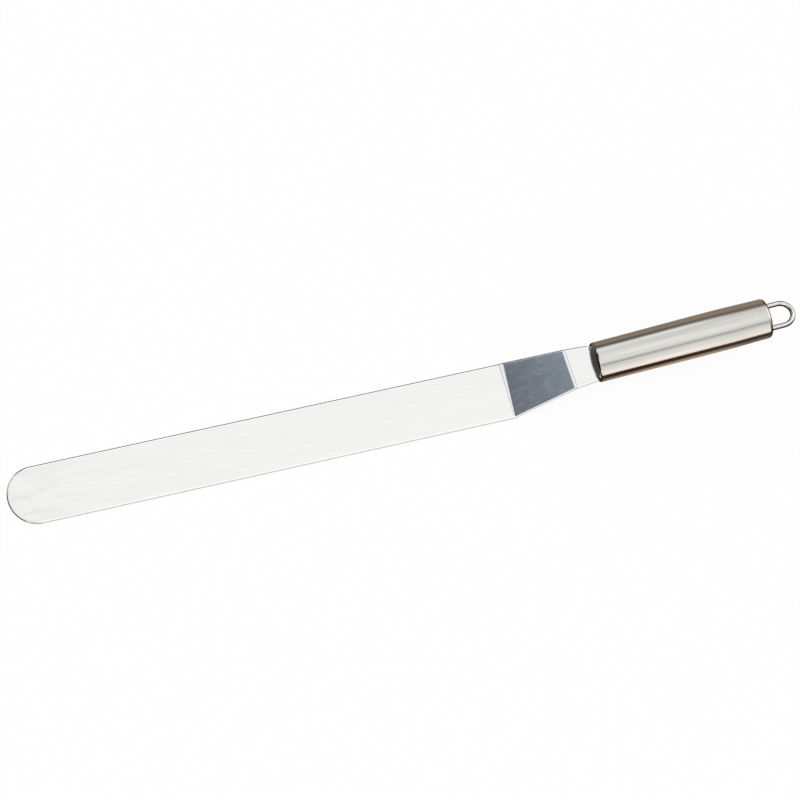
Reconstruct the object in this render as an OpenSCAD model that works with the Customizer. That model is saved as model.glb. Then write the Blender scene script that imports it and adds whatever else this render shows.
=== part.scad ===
// Offset icing spatula: a long round-tipped steel blade, cranked up to a hollow
// steel handle that is closed by two pressed caps and carries a wire hanging loop.
//
// X runs from the blade tip to the hanging loop, Y across the blade and Z up.
// The flat blade lies on Z = 0, and the model is centred on X and Y.

/* [Blade] */
// Length of the flat blade, from its tip to the first crease
blade_len = 261; // [150:1:350]
// Width of the flat blade
blade_w = 31.5; // [26:0.5:45]
// Thickness of the steel strip
strip_t = 0.8; // [0.5:0.1:1.5]
// Length of the rounded tip
tip_len = 14.2; // [6:0.2:30]

/* [Crank] */
// Distance along the table between the two creases
crank_run = 32.5; // [20:0.5:60]
// Height that the crank lifts the strip
crank_rise = 10; // [9.5:0.5:25]
// Width of the strip at the second crease
crank_end_w = 23; // [18:0.2:26]
// Radius of both creases, at the middle of the strip
crease_r = 10; // [2:0.5:14]

/* [Neck and tang] */
// Length of the neck, from the second crease to the front rim of the handle tube
neck_len = 13.2; // [8:0.2:40]
// Width of the neck where it meets the handle
neck_end_w = 20.6; // [17:0.2:24]
// Rounding of the two corners of the neck
neck_corner_r = 1.5; // [0.5:0.1:4]
// Width of the tang that the handle hides
tang_w = 14; // [8:0.5:16]
// Length of the tang, from the front rim of the handle tube
tang_len = 60; // [20:1:80]

/* [Handle tube] */
// Upward slope of the handle, in degrees
handle_slope = 5.5; // [2:0.5:8]
// Length of the tube
tube_len = 94; // [85:0.5:140]
// Diameter at the front of the tube
tube_front_d = 21; // [20.4:0.1:24]
// Diameter at the rear of the tube
tube_rear_d = 20.9; // [19:0.1:26]
// Extra diameter where the palm rests
palm_swell = 0.7; // [0:0.1:4]
// Distance from the front rim to the place where the palm rests
palm_at = 67; // [30:1:75]
// Wall of the tube
tube_wall = 0.5; // [0.3:0.1:1]
// Radius of the front edge, rolled in over the front cap
front_lip_r = 1.5; // [1.1:0.1:3]
// Radius of the rear edge, rolled in over the rear cap
rear_lip_r = 2; // [1.1:0.1:3]

/* [End caps] */
// Thickness of both caps
cap_t = 0.6; // [0.3:0.1:1]
// Depth of both caps inside the tube
cap_depth = 6; // [4:0.5:15]
// Height of the dome on the front cap
front_dome = 1.3; // [0.5:0.1:4]
// Height of the dome on the rear cap
rear_dome = 0.4; // [0.2:0.1:2]

/* [Hanging loop] */
// Diameter of the wire
wire_d = 2.7; // [1.6:0.1:3]
// Distance between the middles of the two legs
loop_w = 12.6; // [9:0.2:13]
// Distance that the loop stands out behind the rear rim of the tube
loop_out = 15; // [10:0.5:30]
// Diameter of the peened head that holds each leg behind the rear cap
head_d = 3; // [2.6:0.1:4]
// Thickness of each peened head
head_t = 0.8; // [0.5:0.1:2]

/* [Clearances] */
// Gap between a cap and the tube around it
cap_fit = 0.05; // [0.02:0.01:0.15]
// Gap around the tang in the slot of the front cap, and between the neck and that cap
neck_fit = 0.1; // [0.05:0.05:0.3]
// Gap around each leg of the loop in the rear cap
wire_fit = 0.05; // [0.02:0.01:0.15]

/* [Hidden] */

$fn = 96;
tip_steps = 48;
crease_steps = 6;
tube_steps = 24;
lip_steps = 8;
dome_steps = 12;
// Overshoot of a cut past the surface that it opens
over = 1;
// Share of its radius by which the middle of each neck corner is set in from the side,
// so that the corner cuts the side at a slight angle
corner_set = 0.9;

// Slope of the crank, and how far each crease reaches from its sharp corner
crank_slope = atan2(crank_rise, crank_run);
foot_set = crease_r * tan(crank_slope / 2);
top_set = crease_r * tan((crank_slope - handle_slope) / 2);

// Middle of the tube's front rim, measured from the blade tip
handle_x = blade_len + crank_run + neck_len * cos(handle_slope);
handle_z = strip_t / 2 + crank_rise + neck_len * sin(handle_slope);

// Loop, measured along the handle from the front rim
bow_r = loop_w / 2;
bow_s = tube_len + loop_out - wire_d / 2 - bow_r;
overall_len = handle_x + (bow_s + bow_r) * cos(handle_slope) + wire_d / 2;

// The rear edge is rolled in no further than the legs of the loop allow
leg_reach = bow_r + wire_d / 2 + wire_fit;
rear_roll_r = min(rear_lip_r, tube_r(tube_len) - leg_reach - cap_t - cap_fit);

// Radius of each mouth that the rolled edges leave, and of the cap collars in the bore
front_mouth_r = tube_r(front_lip_r) - front_lip_r;
rear_mouth_r = tube_r(tube_len - rear_roll_r) - rear_roll_r;
front_collar_r = min(tube_r(front_lip_r), tube_r(cap_depth)) - tube_wall - cap_fit;
rear_collar_r = min(tube_r(tube_len - rear_roll_r), tube_r(tube_len - cap_depth)) - tube_wall - cap_fit;

// Sphere of the front dome, which the end of the neck follows
front_dome_r = dome_r(front_mouth_r - cap_fit, front_dome);

// Stock from which the strip is cut, wider than every width of the blade
stock_w = 2 * max(blade_w, crank_end_w, neck_end_w);

// Outer radius of the tube at the distance s from its front rim
function tube_r(s) =
    let (taper = (tube_rear_d - tube_front_d) * s / tube_len,
         from_end = s < palm_at ? s / palm_at : (tube_len - s) / (tube_len - palm_at),
         swell = palm_swell * (1 - cos(180 * from_end)) / 2)
    (tube_front_d + taper + swell) / 2;

// Radius of the sphere whose cap has the base radius m and the height h
function dome_r(m, h) = (m * m + h * h) / (2 * h);

// Points of an arc about the point c
function arc(c, r, from, to, steps) =
    [for (i = [0:steps]) let (a = from + (to - from) * i / steps) c + r * [cos(a), sin(a)]];

// Places its children in the frame of the handle: X along the tube from the front rim
module on_handle() {
    translate([handle_x, 0, handle_z]) rotate([0, -handle_slope, 0]) children();
}

// Turns a section of radius and distance about the axis of the handle
module turned(points) {
    rotate([0, 90, 0]) rotate_extrude() polygon(points);
}

// Middle of the strip seen from the side, as points of distance, height and slope:
// flat blade, first crease, crank, second crease, neck and tang
function bent_path() =
    let (r = crease_r,
         foot_x = blade_len - foot_set,
         top_x = blade_len + crank_run - top_set * cos(crank_slope),
         top_z = crank_rise - top_set * sin(crank_slope),
         turn = crank_slope - handle_slope)
    concat(
        [[0, 0, 0]],
        [for (i = [0:crease_steps]) let (a = crank_slope * i / crease_steps)
            [foot_x + r * sin(a), r * (1 - cos(a)), a]],
        [for (i = [0:crease_steps]) let (a = crank_slope - turn * i / crease_steps)
            [top_x + r * (sin(crank_slope) - sin(a)), top_z + r * (cos(a) - cos(crank_slope)), a]],
        [[handle_x + tang_len * cos(handle_slope),
          crank_rise + (neck_len + tang_len) * sin(handle_slope), handle_slope]]);

// The bent stock before its outline is cut
module bent_stock() {
    path = bent_path();
    top = [for (p = path) [p.x, p.y] + strip_t / 2 * [-sin(p.z), cos(p.z)]];
    under = [for (i = [len(path) - 1:-1:0]) let (p = path[i])
             [p.x, p.y] - strip_t / 2 * [-sin(p.z), cos(p.z)]];
    translate([0, 0, strip_t / 2]) rotate([90, 0, 0])
        linear_extrude(height = stock_w, center = true) polygon(concat(top, under));
}

// Outline seen from above: an elliptical tip, parallel sides, the taper of the crank
module top_outline() {
    neck_x = handle_x - (neck_corner_r + neck_fit) * cos(handle_slope);
    side = [[blade_len, blade_w / 2], [blade_len + crank_run, crank_end_w / 2],
            [neck_x, neck_end_w / 2], [handle_x + tang_len, neck_end_w / 2]];
    tip = [for (i = [0:tip_steps]) let (a = 180 * i / tip_steps - 90)
           [tip_len * (1 - cos(a)), blade_w / 2 * sin(a)]];
    far_side = [for (i = [len(side) - 1:-1:0]) [side[i].x, -side[i].y]];
    polygon(concat(tip, side, far_side));
}

// Outline of the neck's end and the tang, in the plane of the handle. The neck has
// round corners and is hollowed to fit the dome of the front cap.
module rear_outline() {
    shoulder = neck_corner_r + neck_fit;
    corner_y = neck_end_w / 2 - neck_corner_r * corner_set;
    difference() {
        union() {
            translate([-handle_x - over, -stock_w / 2]) square([handle_x + over - shoulder, stock_w]);
            translate([-shoulder - over, -corner_y]) square([neck_corner_r + over, 2 * corner_y]);
            for (side = [-1, 1]) translate([-shoulder, side * corner_y]) circle(r = neck_corner_r);
        }
        translate([front_dome_r - front_dome, 0]) circle(r = front_dome_r + neck_fit);
    }
    translate([-neck_len / 2, -tang_w / 2]) square([neck_len / 2 + tang_len, tang_w]);
}

// One strip of steel: flat blade, crank, neck, and the tang inside the handle
module blade() {
    color("gainsboro") intersection() {
        bent_stock();
        linear_extrude(height = handle_z + tang_len) top_outline();
        on_handle() linear_extrude(height = 2 * handle_x, center = true) rear_outline();
    }
}

// Section of a pressed cap whose outside faces down the handle axis. The collar's
// rounded corner nests behind the rolled edge of the tube.
function cap_section(mouth_r, collar_r, corner_r, dome) =
    let (m = mouth_r - cap_fit,
         inner_m = m - cap_t,
         r = dome_r(m, dome),
         centre = [0, r - dome],
         face = tube_wall + cap_fit,
         inner_corner_r = max(corner_r - cap_t, cap_t / 4))
    concat(
        arc(centre, r, -90, asin(m / r) - 90, dome_steps),
        arc([collar_r - corner_r, face + corner_r], corner_r, -90, 0, lip_steps),
        [[collar_r, cap_depth], [collar_r - cap_t, cap_depth]],
        arc([collar_r - cap_t - inner_corner_r, face + cap_t + inner_corner_r],
            inner_corner_r, 0, -90, lip_steps),
        [[inner_m, face + cap_t]],
        arc(centre, r - cap_t, asin(inner_m / (r - cap_t)) - 90, -90, dome_steps));

// Domed cap that closes the front of the tube, with a slot for the tang
module front_cap() {
    color("dimgray") on_handle() difference() {
        turned(cap_section(front_mouth_r, front_collar_r, front_lip_r - tube_wall, front_dome));
        cube([2 * cap_depth, tang_w + 2 * neck_fit, strip_t + 2 * neck_fit], center = true);
    }
}

// Hollow tube with a slight palm swell and both edges rolled in
module handle_tube() {
    front_s = front_lip_r;
    rear_s = tube_len - rear_roll_r;
    stations = [for (i = [1:tube_steps - 1]) front_s + (rear_s - front_s) * i / tube_steps];
    outer_side = [for (s = stations) [tube_r(s), s]];
    inner_side = [for (i = [len(stations) - 1:-1:0]) [tube_r(stations[i]) - tube_wall, stations[i]]];
    section = concat(
        arc([front_mouth_r, front_s], front_lip_r, -90, 0, lip_steps),
        outer_side,
        arc([rear_mouth_r, rear_s], rear_roll_r, 0, 90, lip_steps),
        arc([rear_mouth_r, rear_s], rear_roll_r - tube_wall, 90, 0, lip_steps),
        inner_side,
        arc([front_mouth_r, front_s], front_lip_r - tube_wall, 0, -90, lip_steps));
    color("silver") on_handle() turned(section);
}

// Cap that closes the rear of the tube, with a hole for each leg of the loop
module rear_cap() {
    color("gray") on_handle() translate([tube_len, 0, 0]) rotate([0, 0, 180]) difference() {
        turned(cap_section(rear_mouth_r, rear_collar_r, rear_roll_r - tube_wall, rear_dome));
        for (side = [-1, 1]) translate([-rear_dome - over, side * bow_r, 0]) rotate([0, 90, 0])
            cylinder(d = wire_d + 2 * wire_fit, h = rear_dome + over + cap_depth);
    }
}

// Round wire bent to a U, with its two legs peened over behind the rear cap
module hanging_loop() {
    head_s = tube_len - cap_t - wire_fit;
    color("lightgray") on_handle() {
        translate([bow_s, 0, 0]) rotate([0, 0, -90])
            rotate_extrude(angle = 180) translate([bow_r, 0]) circle(d = wire_d);
        for (side = [-1, 1]) translate([0, side * bow_r, 0]) rotate([0, 90, 0]) {
            translate([0, 0, head_s]) cylinder(d = wire_d, h = bow_s - head_s);
            translate([0, 0, head_s - head_t]) cylinder(d = head_d, h = head_t);
        }
    }
}

translate([-overall_len / 2, 0, 0]) {
    blade();
    front_cap();
    handle_tube();
    rear_cap();
    hanging_loop();
}
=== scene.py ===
"""Offset icing spatula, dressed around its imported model: blade, two caps, handle tube and hanging loop."""

import math

import bpy
from mathutils import Matrix, Vector


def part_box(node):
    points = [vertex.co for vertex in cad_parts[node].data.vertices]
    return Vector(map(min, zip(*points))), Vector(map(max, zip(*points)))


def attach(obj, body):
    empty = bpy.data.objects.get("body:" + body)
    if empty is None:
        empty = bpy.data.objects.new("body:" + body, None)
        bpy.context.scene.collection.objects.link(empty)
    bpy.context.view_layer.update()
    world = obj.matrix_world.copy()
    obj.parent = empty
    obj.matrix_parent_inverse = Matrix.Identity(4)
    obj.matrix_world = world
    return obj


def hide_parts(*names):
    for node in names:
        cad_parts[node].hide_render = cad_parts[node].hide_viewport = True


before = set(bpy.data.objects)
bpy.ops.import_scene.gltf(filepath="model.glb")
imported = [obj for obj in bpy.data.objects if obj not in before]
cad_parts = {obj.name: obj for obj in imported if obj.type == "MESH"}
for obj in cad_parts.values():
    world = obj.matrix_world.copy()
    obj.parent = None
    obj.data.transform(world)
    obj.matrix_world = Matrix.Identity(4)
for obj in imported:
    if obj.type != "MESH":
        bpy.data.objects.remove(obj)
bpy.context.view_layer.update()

# Blade. One strip of spring-hard stainless steel, cut to a long round-tipped outline and ground round along
# its edges. A press cranks it up to the neck, and a narrow tang runs on into the handle, where it is fixed.
# The steel is polished lengthwise, so that it mirrors the studio with only faint streaks.
mm = 0.001
strip_t = 0.8 * mm
blade_len, blade_w, tip_len = 261 * mm, 31.5 * mm, 14.2 * mm
crank_run, crank_rise, crank_end_w = 32.5 * mm, 10 * mm, 23 * mm
crease_r = 10 * mm
neck_len, neck_end_w, neck_corner_r = 13.2 * mm, 20.6 * mm, 1.5 * mm
tang_w, tang_len = 14 * mm, 60 * mm
# the width of each ground band with the share of the strip's thickness at its inner side, and the rim's share
ground_bands, rim_share = ((0.55 * mm, 0.84), (0.5 * mm, 1)), 0.33
rim_round, rim_steps, rim_angle = 0.08 * mm, 3, 40
crease_skew, crease_row = math.radians(6), 0.03
neck_gap = 0.1 * mm
handle_slope = math.radians(5.5)
tip_corners, crease_steps, corner_steps = 144, 12, 6
blade_smooth_to = 12

tip_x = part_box("blade")[0].x
crank_slope = math.atan2(crank_rise, crank_run)
foot_x = blade_len - crease_r * math.tan(crank_slope / 2)
top_set = crease_r * math.tan((crank_slope - handle_slope) / 2)
top_x = blade_len + crank_run - top_set * math.cos(crank_slope)
top_z = crank_rise - top_set * math.sin(crank_slope)
along = Vector((math.cos(handle_slope), 0, math.sin(handle_slope)))
handle_at = Vector((tip_x + blade_len + crank_run, 0, strip_t / 2 + crank_rise)) + along * neck_len


def strip_width(x):
    """Width of the strip at the distance x from its tip."""
    if x < blade_len:
        return blade_w
    if x < blade_len + crank_run:
        return blade_w + (crank_end_w - blade_w) * (x - blade_len) / crank_run
    return crank_end_w + (neck_end_w - crank_end_w) * (x - blade_len - crank_run) / (neck_len * along.x)


def start_editing(corner_mode="EDGE"):
    """Opens the active object for editing with nothing selected."""
    bpy.ops.object.mode_set(mode="EDIT")
    bpy.ops.mesh.select_mode(type=corner_mode)
    bpy.ops.mesh.select_all(action="DESELECT")


def select_corners(chosen, mode="EDGE"):
    """Selects the corners that chosen picks by their place, with the edges or faces between them."""
    piece = bpy.context.object
    bpy.ops.mesh.select_all(action="DESELECT")
    bpy.ops.object.mode_set(mode="OBJECT")
    for part in (piece.data.polygons, piece.data.edges):
        for item in part:
            item.select = False
    for corner in piece.data.vertices:
        corner.select = chosen(corner.co)
    bpy.ops.object.mode_set(mode="EDIT")
    bpy.ops.mesh.select_mode(type="VERT")
    if mode != "VERT":
        bpy.ops.mesh.select_mode(type=mode)


bpy.ops.object.select_all(action="DESELECT")
bpy.ops.mesh.primitive_circle_add(vertices=tip_corners, radius=blade_w / 2, fill_type="NGON",
                                  location=(tip_x + tip_len, 0, strip_t / 2))
blade = bpy.context.object
blade.name = "blade_strip"
bpy.ops.object.transform_apply(location=True, rotation=True, scale=True)
start_editing("VERT")
bpy.ops.mesh.select_all(action="SELECT")
bpy.ops.transform.resize(value=(tip_len / (blade_w / 2), 1, 1),
                         center_override=(tip_x + tip_len, 0, strip_t / 2))
bpy.ops.mesh.bisect(plane_co=(tip_x + tip_len, 0, 0), plane_no=(1, 0, 0), clear_outer=True)
near = 0.01 * mm
select_corners(lambda co: abs(co.x - tip_x - tip_len) < near and abs(abs(co.y) - blade_w / 2) < near)
stations = [(foot_x + crease_r * math.sin(a), crease_r * (1 - math.cos(a)))
            for a in [crank_slope * i / crease_steps for i in range(crease_steps + 1)]]
stations += [(top_x + crease_r * (math.sin(crank_slope) - math.sin(a)),
              top_z + crease_r * (math.cos(a) - math.cos(crank_slope)))
             for a in [crank_slope + (handle_slope - crank_slope) * i / crease_steps
                       for i in range(crease_steps + 1)]]
neck_end = handle_at - along * neck_gap
stations.append((neck_end.x - tip_x, neck_end.z - strip_t / 2))
at_x, at_z, at_w = tip_len, 0, blade_w
for x, z in stations:
    bpy.ops.mesh.extrude_region_move(TRANSFORM_OT_translate={"value": (x - at_x, 0, z - at_z)})
    bpy.ops.transform.resize(value=(1, strip_width(x) / at_w, 1),
                             center_override=(tip_x + x, 0, strip_t / 2 + z))
    at_x, at_z, at_w = x, z, strip_width(x)
# the end of the neck is cut in three, and its middle edge is drawn out into the tang
bpy.ops.mesh.subdivide(number_cuts=2)
select_corners(lambda co: (co - neck_end).length < neck_end_w / 5)
bpy.ops.transform.resize(value=(1, tang_w / (at_w / 3), 1), center_override=neck_end)
dome_sag = 0.55 * mm
bpy.ops.transform.translate(value=-along * dome_sag)
bpy.ops.mesh.extrude_region_move(TRANSFORM_OT_translate={"value": along * (tang_len + dome_sag)})
select_corners(lambda co: (co - neck_end).dot(along) > -near and abs(abs(co.y) - at_w / 2) < near, "VERT")
bpy.ops.mesh.bevel(offset=neck_corner_r, segments=corner_steps, affect="VERTICES")
bpy.ops.object.mode_set(mode="OBJECT")
# two insets make the ground edge, on which the strip thins from the face to the rim
ground = blade.vertex_groups.new(name="thickness")
ground.add([v.index for v in blade.data.vertices], rim_share, "REPLACE")
for face in blade.data.polygons:
    face.select = True
for width, share in ground_bands:
    bpy.ops.object.mode_set(mode="EDIT")
    bpy.ops.mesh.select_mode(type="FACE")
    bpy.ops.mesh.inset(thickness=width, depth=0, use_boundary=True, use_even_offset=True)
    bpy.ops.object.mode_set(mode="OBJECT")
    inner = {v for face in blade.data.polygons if face.select for v in face.vertices}
    ground.add(sorted(inner), share, "REPLACE")
# the grinding runs out beside the tang, which is only cut
tang_corners = [v.index for v in blade.data.vertices
                if v.co.x > neck_end.x - neck_corner_r and abs(v.co.y) < (tang_w + neck_corner_r) / 2]
ground.add(tang_corners, 1, "REPLACE")
# the press stood a little askew, so that the lower crease opens from the near edge to the far edge
for corner in blade.data.vertices:
    rise = (corner.co.x - tip_x - foot_x) / crease_r
    if 0 < rise < math.sin(crank_slope) + crease_row:
        bent = min(math.asin(rise), crank_slope)
        slide = corner.co.y * math.tan(crease_skew) * bent / crank_slope
        corner.co += Vector((math.cos(bent), 0, math.sin(bent))) * slide


def mark_edge(piece, share):
    """Stores for each corner of a piece how far it belongs to the piece's edge. The material reads it."""
    marks = piece.data.attributes.new("edge_share", "FLOAT", "POINT")
    for corner in piece.data.vertices:
        marks.data[corner.index].value = share(corner)


# the ground edge, which the material paints with a lighter band as a painted highlight and a darker rim as
# painted shade
mark_edge(blade, lambda corner: 1 if ground.weight(corner.index) < 1 else 0)
strip = blade.modifiers.new("strip", "SOLIDIFY")
strip.thickness, strip.offset = strip_t, 0
strip.vertex_group = "thickness"
rim = blade.modifiers.new("rim", "BEVEL")
rim.width, rim.segments = rim_round, rim_steps
rim.limit_method, rim.angle_limit = "ANGLE", math.radians(rim_angle)
for modifier in ("strip", "rim"):
    bpy.ops.object.modifier_apply(modifier=modifier)
start_editing("FACE")
bpy.ops.mesh.select_all(action="SELECT")
bpy.ops.mesh.normals_make_consistent(inside=False)
bpy.ops.object.mode_set(mode="OBJECT")


def shade_smooth(piece, sharp_above):
    """Shades a piece smooth up to an angle between its faces, in degrees, and keeps its large faces flat."""
    bpy.ops.object.shade_smooth_by_angle(angle=math.radians(sharp_above))
    flat = piece.modifiers.new("flat", "WEIGHTED_NORMAL")
    flat.keep_sharp = True
    bpy.ops.object.modifier_apply(modifier="flat")


shade_smooth(blade, blade_smooth_to)


def linear(hex_colour):
    """An sRGB hex colour as linear RGBA."""
    parts = [int(hex_colour[i:i + 2], 16) / 255 for i in (1, 3, 5)]
    return [c / 12.92 if c <= 0.04045 else ((c + 0.055) / 1.055) ** 2.4 for c in parts] + [1]


def add_node(tree, kind, inputs, **settings):
    """Adds a node with its settings, and gives each named input a value or another node's output."""
    made = tree.nodes.new(kind)
    for name, value in settings.items():
        setattr(made, name, value)
    for socket, value in inputs.items():
        if isinstance(value, bpy.types.NodeSocket):
            tree.links.new(value, made.inputs[socket])
        else:
            made.inputs[socket].default_value = value
    return made


def stainless(name, dark, light, roughness, grain, cloud, bump, at=(0, 0, 0), turn=(0, 0, 0), edge=()):
    """Stainless steel with a grain. dark and light are its streaks' colours, roughness its lowest and
    highest, grain and cloud the sizes of a streak and of a cloudy patch, bump the streaks' height, at and
    turn how the pattern lies, edge the colours that come in where edge_share rises from one value to
    another."""
    darkest, lightest = 0.7, 1.3
    material = bpy.data.materials.new(name)
    material.use_nodes = True
    tree = material.node_tree
    surface = tree.nodes["Principled BSDF"]
    surface.inputs["Metallic"].default_value = 1
    place = add_node(tree, "ShaderNodeTexCoord", {}).outputs["Object"]
    streak_place = add_node(tree, "ShaderNodeMapping", {"Vector": place, "Location": at, "Rotation": turn,
                                                        "Scale": grain}, vector_type="TEXTURE")
    cloud_place = add_node(tree, "ShaderNodeMapping", {"Vector": place, "Location": at, "Rotation": turn,
                                                       "Scale": cloud}, vector_type="TEXTURE")
    streak = add_node(tree, "ShaderNodeTexNoise", {"Vector": streak_place.outputs[0], "Scale": 1, "Detail": 3,
                                                   "Roughness": 0.6}).outputs["Fac"]
    patch = add_node(tree, "ShaderNodeTexNoise", {"Vector": cloud_place.outputs[0], "Scale": 1, "Detail": 2,
                                                  "Roughness": 0.5}).outputs["Fac"]
    both = add_node(tree, "ShaderNodeMath", {0: streak, 1: patch}, operation="ADD").outputs[0]
    tone = add_node(tree, "ShaderNodeMapRange", {"Value": both, "From Min": darkest,
                                                 "From Max": lightest}).outputs[0]
    colour = add_node(tree, "ShaderNodeMix", {"Factor": tone, "A": linear(dark), "B": linear(light)},
                      data_type="RGBA")
    # edge colours are painted light and shade: each mixes in a lighter or darker tone along a piece's edge
    for starts, ends, edge_tone in edge:
        painted_edge_share = add_node(tree, "ShaderNodeAttribute", {}, attribute_name="edge_share").outputs["Fac"]
        share = add_node(tree, "ShaderNodeMapRange", {"Value": painted_edge_share, "From Min": starts, "From Max": ends})
        colour = add_node(tree, "ShaderNodeMix", {"Factor": share.outputs[0], "A": colour.outputs["Result"],
                                                  "B": linear(edge_tone)}, data_type="RGBA")
    tree.links.new(colour.outputs["Result"], surface.inputs["Base Color"])
    rough = add_node(tree, "ShaderNodeMapRange", {"Value": both, "From Min": darkest, "From Max": lightest,
                                                  "To Min": roughness[1], "To Max": roughness[0]}).outputs[0]
    tree.links.new(rough, surface.inputs["Roughness"])
    relief = add_node(tree, "ShaderNodeBump", {"Strength": 1, "Distance": bump, "Height": streak})
    tree.links.new(relief.outputs[0], surface.inputs["Normal"])
    return material


def finish_piece(piece, material, node):
    """Gives a piece its material, and puts it in the place of its CAD node."""
    piece.data.materials.clear()
    piece.data.materials.append(material)
    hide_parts(node)
    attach(piece, "root")


# The real streaks are finer. They are drawn as wide as they have to be to show. On the ground edge a painted
# highlight lightens the colour where the grinding begins, and painted shade darkens it towards the rim.
blade_steel = stainless("polished_stainless_strip", "#dcdcdc", "#dfdfde", (0.05, 0.15),
                        grain=(60 * mm, 0.9 * mm, 0.9 * mm), cloud=(16 * mm, 2.5 * mm, 2.5 * mm),
                        bump=0.0002 * mm, edge=((0, 0.6, "#f0f0ef"), (0.94, 1, "#bcbcba")))
finish_piece(blade, blade_steel, "blade")

# Front cap. A shallow dome pressed from stainless sheet and pushed into the front of the tube, behind its
# rolled edge. Its collar grips the bore of the tube, and the tang goes in through a slot. It is barrel
# polished, smooth but without a grain, so it stays dark where it faces the crank.
tube_len, tube_wall = 94 * mm, 0.5 * mm
tube_front_d, tube_rear_d, palm_swell, palm_at = 21 * mm, 20.9 * mm, 0.7 * mm, 67 * mm
front_lip_r, rear_lip_r = 1.5 * mm, 2 * mm
cap_t, cap_depth, cap_gap, front_dome = 0.6 * mm, 6 * mm, 0.05 * mm, 1.3 * mm
round_steps, lip_steps, dome_steps = 160, 10, 14
doubled, handle_smooth_to = 0.001 * mm, 40


def tube_r(s):
    """Outer radius of the handle tube at the distance s from its front rim."""
    from_end = s / palm_at if s < palm_at else (tube_len - s) / (tube_len - palm_at)
    swell = palm_swell * (1 - math.cos(math.pi * from_end)) / 2
    return (tube_front_d + (tube_rear_d - tube_front_d) * s / tube_len + swell) / 2


def arc(s, r, radius, first, last):
    """Points of an arc as (distance, radius) on the handle. Its angles are 0 outwards and 90 rearwards."""
    angles = [math.radians(first + (last - first) * i / lip_steps) for i in range(lip_steps + 1)]
    return [(s + radius * math.sin(a), r + radius * math.cos(a)) for a in angles]


def cap_section(mouth_r, collar_r, corner, dome):
    """Closed section of a pressed cap that faces forwards: dome, rounded corner, collar and the inside."""
    base_r = mouth_r - cap_gap
    sphere = (base_r ** 2 + dome ** 2) / (2 * dome)
    face = tube_wall + cap_gap
    inner_r, inner_corner = collar_r - cap_t, max(corner - cap_t, cap_t / 4)
    outside, inside = [[(sphere - dome - radius * math.cos(a), radius * math.sin(a))
                        for a in [math.asin(reach / radius) * i / dome_steps
                                  for i in range(1, dome_steps + 1)]]
                       for radius, reach in ((sphere, base_r), (sphere - cap_t, base_r - cap_t))]
    return (outside + arc(face + corner, collar_r - corner, corner, -90, 0)
            + [(cap_depth, collar_r), (cap_depth, inner_r)]
            + arc(face + cap_t + inner_corner, inner_r - inner_corner, inner_corner, 0, -90)
            + [(face + cap_t, base_r - cap_t)] + inside[::-1])


def turn_piece(name, section):
    """Draws a ring out along a section of (distance, radius) about the X axis, and closes its ends."""
    s, r = section[0]
    bpy.ops.object.select_all(action="DESELECT")
    bpy.ops.mesh.primitive_circle_add(vertices=round_steps, radius=r, location=(s, 0, 0),
                                      rotation=(0, math.pi / 2, 0))
    piece = bpy.context.object
    piece.name = name
    bpy.ops.object.transform_apply(location=True, rotation=True, scale=True)
    start_editing()
    bpy.ops.mesh.select_all(action="SELECT")
    for next_s, next_r in section[1:]:
        bpy.ops.mesh.extrude_region_move(TRANSFORM_OT_translate={"value": (next_s - s, 0, 0)})
        bpy.ops.transform.resize(value=(1, next_r / r, next_r / r), center_override=(next_s, 0, 0))
        s, r = next_s, next_r
    close_piece()
    return piece


def close_piece():
    """Merges the doubled corners of the edited piece, fills its open ends and turns its faces outwards."""
    bpy.ops.mesh.select_all(action="SELECT")
    bpy.ops.mesh.remove_doubles(threshold=doubled)
    bpy.ops.mesh.fill_holes(sides=0)
    bpy.ops.mesh.select_all(action="SELECT")
    bpy.ops.mesh.normals_make_consistent(inside=False)
    bpy.ops.object.mode_set(mode="OBJECT")


def seat_on_handle(piece):
    """Moves a piece from the X axis to the sloping axis of the handle, and shades it."""
    piece.rotation_euler = (0, -handle_slope, 0)
    piece.location = handle_at
    bpy.ops.object.transform_apply(location=True, rotation=True, scale=True)
    shade_smooth(piece, handle_smooth_to)


def cut_away(piece, cutter):
    """Cuts the shape of another object out of a piece, and deletes that object."""
    bpy.ops.object.select_all(action="DESELECT")
    piece.select_set(True)
    bpy.context.view_layer.objects.active = piece
    cut = piece.modifiers.new("cut", "BOOLEAN")
    cut.operation, cut.solver, cut.object = "DIFFERENCE", "EXACT", cutter
    bpy.ops.object.modifier_apply(modifier="cut")
    bpy.data.objects.remove(cutter)


front_mouth_r = tube_r(front_lip_r) - front_lip_r
front_collar_r = min(tube_r(front_lip_r), tube_r(cap_depth)) - tube_wall - cap_gap
front_cap = turn_piece("front_cap_dome",
                       cap_section(front_mouth_r, front_collar_r, front_lip_r - tube_wall, front_dome))
# the slot for the tang
bpy.ops.mesh.primitive_cube_add(size=1, scale=(2 * cap_depth, tang_w + 2 * neck_gap, strip_t + 2 * neck_gap))
cut_away(front_cap, bpy.context.object)
seat_on_handle(front_cap)
cap_steel = stainless("barrel_polished_stainless_cap", "#a4a4a3", "#b0b0af", (0.14, 0.2),
                      grain=(1.2 * mm, 1.2 * mm, 1.2 * mm), cloud=(5 * mm, 5 * mm, 5 * mm), bump=0.0005 * mm)
finish_piece(front_cap, cap_steel, "front_cap")

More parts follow.
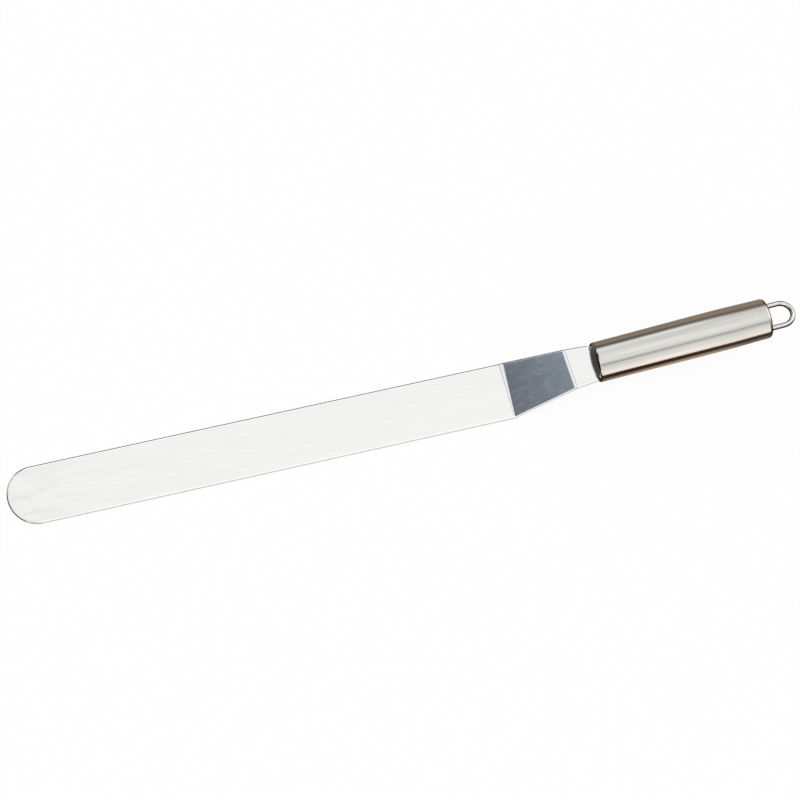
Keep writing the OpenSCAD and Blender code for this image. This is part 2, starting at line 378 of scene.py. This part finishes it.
# Handle tube. Thin stainless tube with a slight swell for the palm, its front and rear edges rolled in over
# the caps. It is brushed lengthwise and then buffed, which leaves long soft streaks in its reflections. They
# are drawn wider than the real ones, so that they show.
tube_steps = 36
rear_at = tube_len - rear_lip_r
rear_mouth_r = tube_r(rear_at) - rear_lip_r
wall_at = [front_lip_r + (rear_at - front_lip_r) * i / tube_steps for i in range(1, tube_steps)]
tube_section = (arc(front_lip_r, front_mouth_r, front_lip_r, -90, 0) + [(s, tube_r(s)) for s in wall_at]
                + arc(rear_at, rear_mouth_r, rear_lip_r, 0, 90)
                + arc(rear_at, rear_mouth_r, rear_lip_r - tube_wall, 90, 0)
                + [(s, tube_r(s) - tube_wall) for s in wall_at[::-1]]
                + arc(front_lip_r, front_mouth_r, front_lip_r - tube_wall, 0, -90))
tube = turn_piece("handle_tube_brushed", tube_section + tube_section[:1])
seat_on_handle(tube)
tube_steel = stainless("brushed_stainless_tube", "#b4b4b2", "#c6c6c4", (0.1, 0.17),
                       grain=(70 * mm, 0.6 * mm, 0.6 * mm), cloud=(60 * mm, 3 * mm, 3 * mm), bump=0.0008 * mm,
                       at=handle_at, turn=(0, -handle_slope, 0))
finish_piece(tube, tube_steel, "handle_tube")

# Rear cap. The same pressing as the front cap, nearly flat, with two holes through which the legs of the
# hanging loop go in. It has the front cap's steel and polish.
rear_dome, wire_gap, hole_corners = 0.4 * mm, 0.05 * mm, 48
wire_d, loop_w, loop_out = 2.7 * mm, 12.6 * mm, 15 * mm
rear_collar_r = min(tube_r(rear_at), tube_r(tube_len - cap_depth)) - tube_wall - cap_gap
rear_section = cap_section(rear_mouth_r, rear_collar_r, rear_lip_r - tube_wall, rear_dome)
rear_cap = turn_piece("rear_cap_plate", [(tube_len - s, r) for s, r in rear_section])
for side in (-1, 1):
    bpy.ops.mesh.primitive_cylinder_add(vertices=hole_corners, radius=wire_d / 2 + wire_gap,
                                        depth=2 * cap_depth, location=(tube_len, side * loop_w / 2, 0),
                                        rotation=(0, math.pi / 2, 0))
    cut_away(rear_cap, bpy.context.object)
seat_on_handle(rear_cap)
finish_piece(rear_cap, cap_steel, "rear_cap")

# Hanging loop. Stainless wire drawn bright, bent to a U, its two legs pushed through the rear cap and peened
# over behind it. Its colour is painted dark along its flanks, as painted shade, so that the loop shows thin
# dark outlines.
head_d, head_t, head_round = 3 * mm, 0.8 * mm, 0.2 * mm
wire_corners, bow_steps = 40, 48
bow_at = tube_len + loop_out - (wire_d + loop_w) / 2
head_end = tube_len - cap_t - wire_gap
leg = [(head_end - head_t, head_d / 2 - head_round), (head_end - head_t + head_round, head_d / 2),
       (head_end - head_round, head_d / 2), (head_end, head_d / 2 - head_round), (head_end, wire_d / 2),
       (bow_at, wire_d / 2)]
bpy.ops.object.select_all(action="DESELECT")
bpy.ops.mesh.primitive_circle_add(vertices=wire_corners, radius=leg[0][1],
                                  location=(leg[0][0], loop_w / 2, 0), rotation=(0, math.pi / 2, 0))
loop = bpy.context.object
loop.name = "hanging_loop_wire"
bpy.ops.object.transform_apply(location=True, rotation=True, scale=True)
start_editing()
bpy.ops.mesh.select_all(action="SELECT")
for side, way in ((1, leg), (-1, leg[::-1])):
    for (s, r), (next_s, next_r) in zip(way, way[1:]):
        bpy.ops.mesh.extrude_region_move(TRANSFORM_OT_translate={"value": (next_s - s, 0, 0)})
        bpy.ops.transform.resize(value=(1, next_r / r, next_r / r),
                                 center_override=(next_s, side * loop_w / 2, 0))
    if side == 1:
        bpy.ops.mesh.spin(steps=bow_steps, angle=math.pi, center=(bow_at, 0, 0), axis=(0, 0, 1))
close_piece()
# how near each corner lies to the wire's flanks, where the material paints shade
mark_edge(loop, lambda corner: 1 - min(1, abs(corner.co.z) / (wire_d / 2)))
seat_on_handle(loop)
# the dark edge tone is painted shade on the wire's flanks
wire_steel = stainless("bright_drawn_stainless_wire", "#c8c4c0", "#d2cfcc", (0.04, 0.08),
                       grain=(12 * mm, 0.4 * mm, 0.4 * mm), cloud=(8 * mm, 2 * mm, 2 * mm), bump=0.00005 * mm,
                       at=handle_at, turn=(0, -handle_slope, 0), edge=((0.2, 0.42, "#32241c"),))
finish_piece(loop, wire_steel, "hanging_loop")

# Camera. It stands in front of the blade, high above the table, and is rolled so that the handle rises to
# the right. The lens is long, as in catalogue photographs.
turned, raised, rolled = math.radians(28.29), math.radians(63.46), math.radians(13.35)
camera_reach, look_right, look_up, look_z = 1469.2 * mm, 4.85 * mm, -3.33 * mm, 8 * mm
sensor_w, focal_px, image_px = 36, 2895.8, 800
ahead = Vector((math.sin(turned) * math.cos(raised), math.cos(turned) * math.cos(raised),
                -math.sin(raised)))
level = Vector((math.cos(turned), -math.sin(turned), 0))
upward = level.cross(ahead)
right = level * math.cos(rolled) + upward * math.sin(rolled)
up = upward * math.cos(rolled) - level * math.sin(rolled)
camera = bpy.data.objects.new("camera", bpy.data.cameras.new("camera"))
bpy.context.scene.collection.objects.link(camera)
camera.data.sensor_width, camera.data.lens = sensor_w, focal_px / image_px * sensor_w
place = Vector((0, 0, look_z)) - right * look_right - up * look_up - ahead * camera_reach
camera.matrix_world = Matrix.Translation(place) @ Matrix((right, up, -ahead)).transposed().to_4x4()
bpy.context.scene.camera = camera

# Floor. A wide plain white table. The camera sees it nearly pure white, and a share of real light keeps the
# soft shadow under the spatula. From below it can be looked through, so that the underside shows.
floor_half, floor_drop, floor_light = 3, 0.02 * mm, 0.94
bpy.ops.object.select_all(action="DESELECT")
bpy.ops.mesh.primitive_plane_add(size=2 * floor_half, location=(0, 0, -floor_drop))
floor = bpy.context.object
floor.name = "floor"
floor.visible_glossy = False
paint = bpy.data.materials.new("white_table")
paint.use_nodes = True
tree = paint.node_tree
tree.nodes.clear()
matt = add_node(tree, "ShaderNodeBsdfDiffuse", {"Color": linear("#f2f2f2")}).outputs[0]
glow = add_node(tree, "ShaderNodeEmission", {"Color": (1, 1, 1, 1), "Strength": 1}).outputs[0]
ray = add_node(tree, "ShaderNodeLightPath", {})
share = add_node(tree, "ShaderNodeMath", {0: ray.outputs["Is Camera Ray"], 1: floor_light},
                 operation="MULTIPLY").outputs[0]
seen = add_node(tree, "ShaderNodeMixShader", {0: share, 1: matt, 2: glow}).outputs[0]
behind = add_node(tree, "ShaderNodeNewGeometry", {}).outputs["Backfacing"]
clear = add_node(tree, "ShaderNodeBsdfTransparent", {}).outputs[0]
both_sides = add_node(tree, "ShaderNodeMixShader", {0: behind, 1: seen, 2: clear}).outputs[0]
add_node(tree, "ShaderNodeOutputMaterial", {"Surface": both_sides})
floor.data.materials.append(paint)

# Studio. White panels overhead and in front light the steel, with dark gaps between them, a brown wall behind
# and a dark foot in front. The polished steel mirrors them, while everything matt gets even white light. The
# room can't be seen in the photo: each layer was set by what the steel there mirrors.
studio = bpy.data.worlds.new("studio")
bpy.context.scene.world = studio
studio.use_nodes = True
tree = studio.node_tree
tree.nodes.clear()
towards = add_node(tree, "ShaderNodeTexCoord", {}).outputs["Generated"]
axes = add_node(tree, "ShaderNodeSeparateXYZ", {0: towards})
tilt = add_node(tree, "ShaderNodeMath", {0: axes.outputs["Y"], 1: axes.outputs["Z"]},
                operation="ARCTAN2").outputs[0]
panel_light = 1.9


def put_up(under, across, around):
    """Puts a panel up in front of what is already there, and returns what is seen then. across gives its
    share at places from the tip's side (-1) to the loop's side (1). around gives its tone and share at angles
    in degrees about the length of the spatula, where 0 is straight up and 90 is level behind it."""
    ramps = []
    for value, reach, half, stops in (
            (axes.outputs["X"], 1, 1, [(at, "#ffffff", share) for at, share in across]),
            (tilt, math.pi, 180, around)):
        place = add_node(tree, "ShaderNodeMapRange", {"Value": value, "From Min": -reach, "From Max": reach})
        ramp = add_node(tree, "ShaderNodeValToRGB", {"Fac": place.outputs[0]})
        elements = ramp.color_ramp.elements
        elements.remove(elements[1])
        for at, tone, share in stops:
            element = elements.new((at / half + 1) / 2)
            element.color = linear(tone)[:3] + [share]
        elements.remove(elements[0])
        ramps.append(ramp.outputs)
    share = add_node(tree, "ShaderNodeMath", {0: ramps[0]["Alpha"], 1: ramps[1]["Alpha"]},
                     operation="MULTIPLY")
    return add_node(tree, "ShaderNodeMix", {"Factor": share.outputs[0], "A": under, "B": ramps[1]["Color"]},
                    data_type="RGBA").outputs["Result"]


def soft_strip(tone, starts, full_from, full_to, ends):
    """The angles, tone and shares of a strip in one tone that fades in and out."""
    return [(starts, tone, 0), (full_from, tone, 1), (full_to, tone, 1), (ends, tone, 0)]


everywhere = [(0, 1)]
# the room itself, from straight down over the front, overhead and behind back to straight down: a dark foot,
# white panels in front and overhead with a grey gap between them, a brown wall
room = put_up((0, 0, 0, 1), everywhere, [
    (-180, "#94887a", 1), (-150, "#9a8d7f", 1), (-140, "#453427", 1), (-116, "#3a281c", 1),
    (-108, "#fff4ea", 1), (-84, "#e8e3dd", 1), (-70, "#dddcd8", 1), (-53, "#c8c7c4", 1), (-47, "#9c9c9a", 1),
    (-45, "#9c9c9a", 1), (-39, "#cecdc9", 1), (-28, "#dfdcd8", 1), (-12, "#e4e2de", 1), (24, "#d2d2d1", 1),
    (40, "#c9c9c7", 1), (48, "#b9b7b3", 1), (54, "#877d75", 1), (60, "#6b625a", 1), (70, "#6b625a", 1),
    (84, "#8a7c70", 1), (105, "#7e7061", 1), (130, "#807263", 1), (180, "#94887a", 1)])
# the wall from just past the middle to the tip's side: pale above its top, then two greys
room = put_up(room, [(0.13, 1), (0.15, 0)], soft_strip("#e0e0dd", 28, 36, 48, 56))
room = put_up(room, [(0.16, 1), (0.19, 0)], [
    (36, "#e0e0dd", 0), (44, "#e0e0dd", 1), (57, "#dcdcd9", 1), (65, "#5a554f", 1), (72, "#5a554f", 1),
    (82, "#7e7674", 1), (96, "#7e7674", 1), (108, "#5c554e", 1), (150, "#5a554f", 0)])
room = put_up(room, [(0.12, 1), (0.19, 0)], [(50, "#3e403f", 0), (60, "#3e403f", 1), (180, "#3e403f", 1)])
# the foot: reddish from the tip's side to past the middle, darker brown at the loop's side
room = put_up(room, [(0.274, 1), (0.288, 0)], [
    (-180, "#4c443c", 1), (-148, "#4c443c", 1), (-136, "#3a1f14", 1), (-114, "#32160c", 1),
    (-108, "#32160c", 0)])
room = put_up(room, [(0.325, 0), (0.35, 1)], [
    (-180, "#54463a", 1), (-140, "#33261b", 1), (-116, "#33261b", 1), (-108, "#33261b", 0)])
# a thin grey gap that runs all round, near the middle
room = put_up(room, [(-0.02, 0), (0.01, 1), (0.03, 1), (0.06, 0)], [(0, "#606060", 0.85)])
# towards the tip: white panels high up, nothing lit lower down, least of all behind
room = put_up(room, [(-0.2, 1), (-0.12, 0)], [
    (-180, "#181210", 1), (-118, "#181210", 1), (-104, "#fff8f2", 1), (44, "#ffffff", 1), (52, "#c8c4c0", 1),
    (60, "#4a4642", 1), (110, "#241c16", 1), (180, "#181210", 1)])
room = put_up(room, [(-0.26, 0), (-0.2, 1), (0, 1), (0.06, 0)], [
    (48, "#0c0c0c", 0), (54, "#0c0c0c", 1), (180, "#0c0c0c", 1)])
# at the foot of those panels behind, a dull pink strip and a pale one, and in front a grey one
room = put_up(room, [(-0.56, 0), (-0.5, 1), (-0.33, 1), (-0.27, 0)], soft_strip("#b8a8a0", 38, 42, 56, 60))
room = put_up(room, [(-0.34, 0), (-0.31, 1), (-0.26, 1), (-0.23, 0)], soft_strip("#e0e4e8", 54, 60, 70, 76))
room = put_up(room, [(-0.36, 0), (-0.3, 0.8), (-0.22, 0.8), (-0.16, 0)],
              soft_strip("#a0a0a4", -112, -104, -38, -28))
# the gap that the slope of the crank and the front cap mirror: blue-grey, then with a dark edge, then brown
room = put_up(room, [(-0.25, 1), (-0.1, 0)], soft_strip("#7d8a97", 8, 15, 34, 41))
room = put_up(room, [(-0.292, 1), (-0.26, 0.2), (-0.24, 0)], [
    (8, "#50545c", 0), (15, "#50545c", 1), (28, "#50545c", 1), (32, "#25272a", 1), (38, "#25272a", 1),
    (42, "#25272a", 0)])
room = put_up(room, [(-0.42, 1), (-0.36, 0)], [
    (0, "#60483c", 0), (6, "#60483c", 1), (20, "#4c4644", 1), (36, "#484646", 1), (42, "#484646", 0)])
room = put_up(room, [(-0.6, 1), (-0.5, 0)], [(48, "#0a0908", 0), (54, "#0a0908", 1), (180, "#0a0908", 1)])
# strips overhead beside that gap: brown, pale brown and pink
room = put_up(room, [(-0.62, 0), (-0.58, 1), (-0.3, 1), (-0.26, 0)], soft_strip("#745c50", -14, -9, 4, 12))
room = put_up(room, [(-0.27, 0), (-0.24, 1), (-0.06, 1), (0.02, 0)], soft_strip("#beb4ac", -22, -17, -10, -6))
room = put_up(room, [(-0.2, 0), (-0.14, 1), (-0.08, 1), (0, 0)], soft_strip("#e8c8b8", 8, 11, 19, 22))
# towards the loop: white high up, dark lower down, and a thin grey gap all round where it begins
room = put_up(room, [(0.37, 0), (0.42, 1)], [
    (-180, "#241a12", 1), (-112, "#241a12", 1), (-100, "#f3eae2", 1), (52, "#ffffff", 1), (66, "#5a5048", 1),
    (110, "#241c16", 1), (180, "#241a12", 1)])
room = put_up(room, [(0.36, 0), (0.4, 0.7), (0.44, 0)], [(0, "#7a7874", 1)])
# in front, far out to both sides: the rest of the room in half light, which the blade mirrors when it is seen
# from behind
room = put_up(room, [(-0.74, 0), (-0.7, 1), (-0.56, 1), (-0.5, 0)], [
    (-94, "#83817d", 0), (-84, "#83817d", 1), (-55, "#a4a29e", 1), (-34, "#bcbab6", 1), (-22, "#bcbab6", 0)])
room = put_up(room, [(0.36, 0), (0.4, 1)], [
    (-106, "#4a4438", 0), (-100, "#4a4438", 1), (-80, "#5a5448", 1), (-66, "#8c8a86", 1), (-52, "#a4a29e", 1),
    (-34, "#bcbab6", 1), (-22, "#bcbab6", 0)])
# low behind: grey, which the far end of the rolled front edge mirrors
room = put_up(room, [(-0.7, 0), (-0.66, 1), (-0.02, 1), (0.04, 0)], soft_strip("#60625c", 78, 86, 126, 136))
# straight beyond the tip nothing is lit, which the rolled front edge mirrors as a black line beside the cap
room = put_up(room, [(-0.8, 1), (-0.73, 0)], [(0, "#0a0908", 1)])
lit = add_node(tree, "ShaderNodeVectorMath", {0: room, "Scale": panel_light}, operation="SCALE").outputs[0]
mirrored = add_node(tree, "ShaderNodeBackground", {"Color": lit, "Strength": 1}).outputs[0]
plain = add_node(tree, "ShaderNodeBackground", {"Color": (1, 1, 1, 1), "Strength": 1}).outputs[0]
ray = add_node(tree, "ShaderNodeLightPath", {})
chosen = add_node(tree, "ShaderNodeMixShader", {0: ray.outputs["Is Glossy Ray"], 1: plain,
                                                2: mirrored}).outputs[0]
add_node(tree, "ShaderNodeOutputWorld", {"Surface": chosen})

bpy.context.scene.view_settings.view_transform = "Standard"
